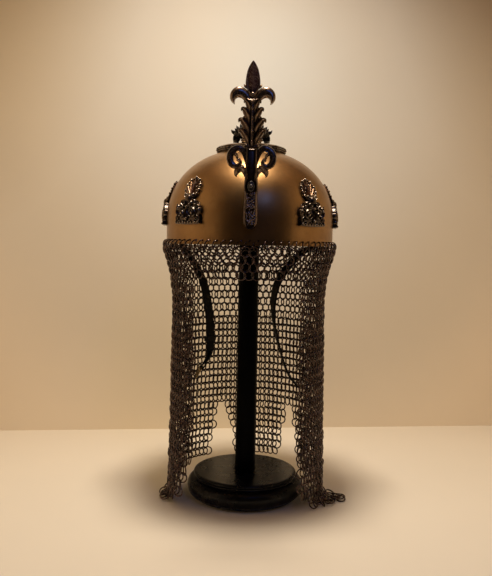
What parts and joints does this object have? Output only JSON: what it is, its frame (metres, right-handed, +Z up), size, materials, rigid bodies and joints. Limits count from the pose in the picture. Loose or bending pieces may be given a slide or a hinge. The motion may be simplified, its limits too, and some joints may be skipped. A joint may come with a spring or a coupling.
{
  "type": "crested helmet with mail curtain on a stand",
  "caption": "Domed bronze helmet with a sliding leaf-topped nasal, palmette mounts, a crown finial, chin straps and a ring-mail curtain, shown on a turned post stand.",
  "frame": {"origin": "centre of the stand's underside, on the surface it rests on", "axes": "+Z up, the helmet's face looks along -Y, +X is to the right as seen from the front"},
  "size_m": [0.2369, 0.2319, 0.53],
  "materials": {
    "bronze": "satin antique bronze, brushed and darkened",
    "cast_bronze": "dark antiqued casting with worn bright edges",
    "dark_steel": "blackened steel",
    "mail_steel": "browned butted steel rings",
    "brass": "aged brass",
    "black_leather": "black, grained, cut edges",
    "brown_leather": "brown vegetable-tanned",
    "felt": "thin wool felt",
    "black_wood": "turned wood under glossy black lacquer"
  },
  "bodies": {
    "stand": {"stand_base": "black_wood", "stand_base_felt": "felt", "stand_post": "black_wood", "stand_base_screw": "dark_steel", "stand_head_block": "black_wood"},
    "helmet": {"bowl": "bronze", "palmette_front_right": "cast_bronze", "palmette_side_right": "cast_bronze", "palmette_rear_right": "cast_bronze", "palmette_rear_centre": "cast_bronze", "palmette_rear_left": "cast_bronze", "palmette_side_left": "cast_bronze", "palmette_front_left": "cast_bronze", "rivet_front_right": "cast_bronze", "rivet_side_right": "cast_bronze", "rivet_rear_right": "cast_bronze", "rivet_rear_centre": "cast_bronze", "rivet_rear_left": "cast_bronze", "rivet_side_left": "cast_bronze", "rivet_front_left": "cast_bronze", "crown_rosette": "cast_bronze", "crown_leaf_cup": "cast_bronze", "crown_bud": "cast_bronze", "crown_nut": "dark_steel", "nasal_bracket": "cast_bronze", "nasal_stud": "dark_steel", "liner_band": "brown_leather", "liner_tongue_front": "brown_leather", "liner_tongue_front_right": "brown_leather", "liner_tongue_side_right": "brown_leather", "liner_tongue_rear_right": "brown_leather", "liner_tongue_rear_centre": "brown_leather", "liner_tongue_rear_left": "brown_leather", "liner_tongue_side_left": "brown_leather", "liner_tongue_front_left": "brown_leather", "liner_lace": "black_leather", "chin_strap_rivet_left": "brass", "chin_strap_rivet_right": "brass", "mail_fringe": "mail_steel", "mail_upper": "mail_steel", "mail_lower": "mail_steel"},
    "nasal": {"nasal_bar": "cast_bronze"},
    "thumb_nut": {"nasal_thumb_nut": "brass"},
    "strap_left": {"chin_strap_left": "black_leather", "strap_keeper": "black_leather", "buckle_frame": "brass"},
    "buckle_tongue": {"buckle_tongue": "brass"},
    "strap_right": {"chin_strap_right": "black_leather"},
    "flap_left": {"mail_flap_left": "mail_steel"},
    "flap_back": {"mail_flap_back": "mail_steel"},
    "flap_right": {"mail_flap_right": "mail_steel"}
  },
  "joints": [
    {"name": "helmet_lift_off", "type": "slide", "parent": "stand", "child": "helmet", "axis": [0, 0, 1], "range_m": [0, 0.45]},
    {"name": "nasal_slide", "type": "slide", "parent": "helmet", "child": "nasal", "axis": [0, 0, -1], "range_m": [0, 0.036]},
    {"name": "thumb_nut_turn", "type": "hinge", "parent": "helmet", "child": "thumb_nut", "pos_m": [0, -0.1171, 0.3917], "axis": [0, -1, 0], "range_deg": [0, 180]},
    {"name": "strap_left_swing", "type": "hinge", "parent": "helmet", "child": "strap_left", "pos_m": [-0.09122, -0.03872, 0.343], "axis": [-0.9205, -0.3907, 0], "range_deg": [-18, 18]},
    {"name": "buckle_tongue_turn", "type": "hinge", "parent": "strap_left", "child": "buckle_tongue", "pos_m": [-0.05785, -0.039, 0.17497], "axis": [0, 1, 0], "range_deg": [0, 60]},
    {"name": "strap_right_swing", "type": "hinge", "parent": "helmet", "child": "strap_right", "pos_m": [0.09122, -0.03872, 0.343], "axis": [0.9205, -0.3907, 0], "range_deg": [-18, 18]},
    {"name": "flap_left_swing", "type": "hinge", "parent": "helmet", "child": "flap_left", "pos_m": [-0.09237, -0.03362, 0.104], "axis": [-0.342, 0.9397, 0], "range_deg": [0, 20]},
    {"name": "flap_back_swing", "type": "hinge", "parent": "helmet", "child": "flap_back", "pos_m": [0.01538, 0.09709, 0.104], "axis": [0.9877, -0.1564, 0], "range_deg": [0, 40]},
    {"name": "flap_right_swing", "type": "hinge", "parent": "helmet", "child": "flap_right", "pos_m": [0.09237, -0.03362, 0.104], "axis": [-0.342, -0.9397, 0], "range_deg": [0, 20]}
  ]
}
